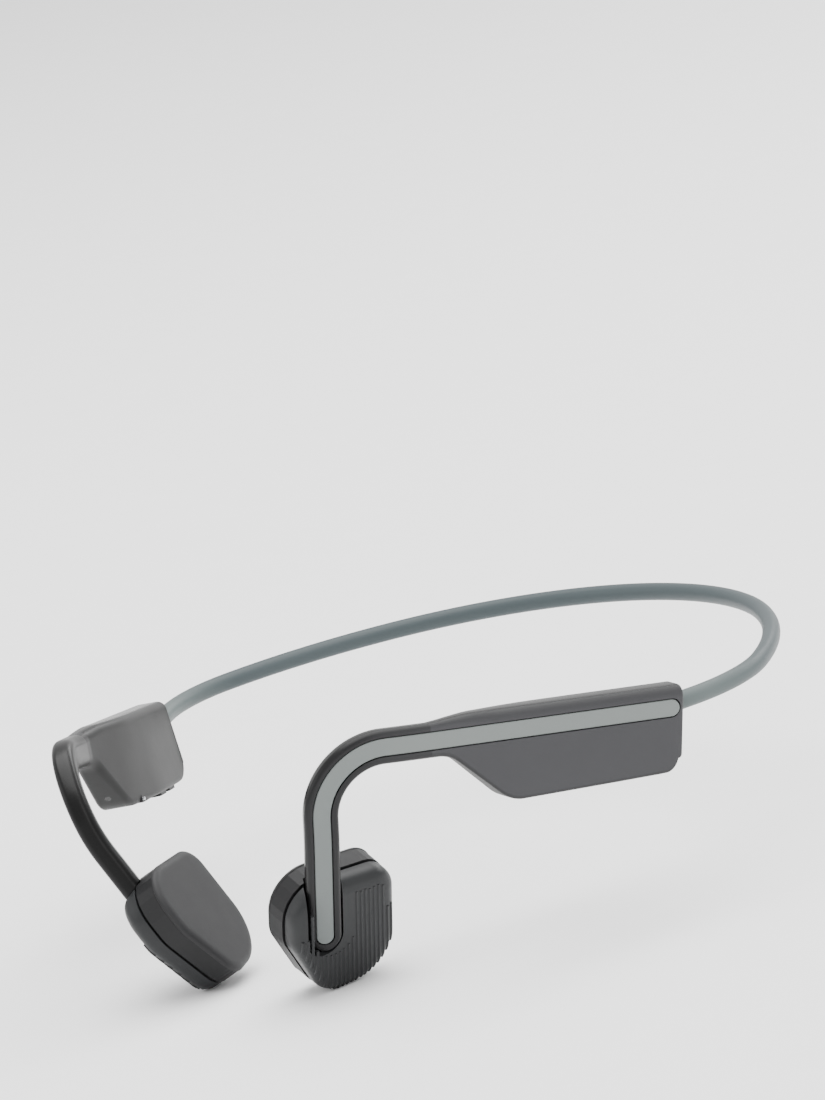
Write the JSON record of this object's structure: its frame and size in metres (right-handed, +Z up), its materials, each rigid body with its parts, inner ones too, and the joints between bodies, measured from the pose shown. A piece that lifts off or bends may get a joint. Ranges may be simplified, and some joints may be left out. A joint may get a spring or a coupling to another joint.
{
  "type": "bone_conduction_headphones",
  "caption": "Open-ear bone conduction headphones: sprung silicone neckband, two cases with over-ear hooks inlaid with a grey strip, ribbed driver caps and skin-side contact pads",
  "frame": {"origin": "Centre of the whole object's box at rest, with the neckband level", "axes": "+Z up with the neckband level, the wearer faces -Y and the wearer's left is +X"},
  "size_m": [0.1232, 0.1283, 0.0436],
  "materials": {
    "case_plastic": "Fine matte moulded plastic, mid-dark grey, glossy towards the rounded top edge",
    "inner_plastic": "Fine matte moulded plastic, dark grey",
    "hook_silicone": "Satin black silicone over the spring wire",
    "trim": "Satin light cool grey strip",
    "pad_silicone": "Matte dark grey skin-side silicone",
    "cap_plastic": "Dark grey plastic with fine upright ribs",
    "band_silicone": "Satin slate grey-green silicone sleeve",
    "spring_wire": "Drawn spring wire, bare metal",
    "steel": "Stamped bright steel",
    "copper": "Enamelled copper winding and leads",
    "spring_brass": "Rolled spring plate",
    "board": "Green solder mask over glass laminate",
    "cell": "Blue film over the pouch cell",
    "shield": "Tinned shield can",
    "button_rubber": "Satin black button rubber",
    "cover_rubber": "Soft dark cover",
    "mesh": "Black acoustic mesh",
    "light_guide": "Clear white light guide"
  },
  "bodies": {
    "neckband": {"band_sleeve_middle": "band_silicone", "band_wire_middle": "spring_wire"},
    "left_unit": {"left_outer_shell": "case_plastic", "left_inner_cover": "inner_plastic", "left_ear_hook": "hook_silicone", "left_trim_strip": "trim", "left_hook_wire": "spring_wire", "left_hook_leads": "copper", "left_driver_housing": "inner_plastic", "left_contact_pad": "pad_silicone", "left_voice_coil": "copper", "left_driver_spring": "spring_brass", "left_band_anchor": "steel", "left_board_screws": "steel", "battery": "cell", "battery_board": "board", "control_switch": "shield", "band_sleeve_left": "band_silicone", "band_wire_left": "spring_wire"},
    "left_driver": {"left_driver_magnet": "steel", "left_driver_yoke": "steel"},
    "control": {"control_button": "cap_plastic"},
    "right_unit": {"right_outer_shell": "case_plastic", "right_inner_cover": "inner_plastic", "right_ear_hook": "hook_silicone", "right_trim_strip": "trim", "right_hook_wire": "spring_wire", "right_hook_leads": "copper", "right_driver_housing": "inner_plastic", "right_contact_pad": "pad_silicone", "right_voice_coil": "copper", "right_driver_spring": "spring_brass", "right_band_anchor": "steel", "right_board_screws": "steel", "right_driver_cap": "cap_plastic", "main_board": "board", "radio_module": "shield", "charging_socket": "shield", "port_cover_pin": "steel", "volume_switches": "shield", "microphone": "shield", "microphone_mesh": "mesh", "status_light": "light_guide", "band_sleeve_right": "band_silicone", "band_wire_right": "spring_wire"},
    "right_driver": {"right_driver_magnet": "steel", "right_driver_yoke": "steel"},
    "cover": {"port_cover": "cover_rubber"},
    "volume_up": {"volume_up_button": "button_rubber"},
    "volume_down": {"volume_down_button": "button_rubber"}
  },
  "joints": [
    {"name": "left_flex", "type": "hinge", "parent": "neckband", "child": "left_unit", "pos_m": [0.04079, 0.04609, 0.00895], "axis": [0, 0, 1], "range_deg": [-3, 25], "stiffness_Nm_per_rad": 0.25},
    {"name": "right_flex", "type": "hinge", "parent": "neckband", "child": "right_unit", "pos_m": [-0.04079, 0.04609, 0.00895], "axis": [0, 0, -1], "range_deg": [-3, 25], "stiffness_Nm_per_rad": 0.25},
    {"name": "control_press", "type": "slide", "parent": "left_unit", "child": "control", "axis": [-0.8569, 0.2839, 0.4303], "range_m": [0, 0.0004], "stiffness_N_per_m": 600},
    {"name": "left_driver_travel", "type": "slide", "parent": "left_unit", "child": "left_driver", "axis": [0.8569, -0.2839, -0.4303], "range_m": [-0.0002, 0.0002], "stiffness_N_per_m": 600},
    {"name": "right_driver_travel", "type": "slide", "parent": "right_unit", "child": "right_driver", "axis": [-0.8569, -0.2839, -0.4303], "range_m": [-0.0002, 0.0002], "stiffness_N_per_m": 600},
    {"name": "port_cover_hinge", "type": "hinge", "parent": "right_unit", "child": "cover", "pos_m": [-0.04289, -0.0303, 0.00343], "axis": [-0.887, -0.4617, 0], "range_deg": [0, 90]},
    {"name": "volume_up_press", "type": "slide", "parent": "right_unit", "child": "volume_up", "axis": [-0.0687, 0.1319, 0.9889], "range_m": [0, 0.0004], "stiffness_N_per_m": 600},
    {"name": "volume_down_press", "type": "slide", "parent": "right_unit", "child": "volume_down", "axis": [-0.0687, 0.1319, 0.9889], "range_m": [0, 0.0004], "stiffness_N_per_m": 600}
  ]
}
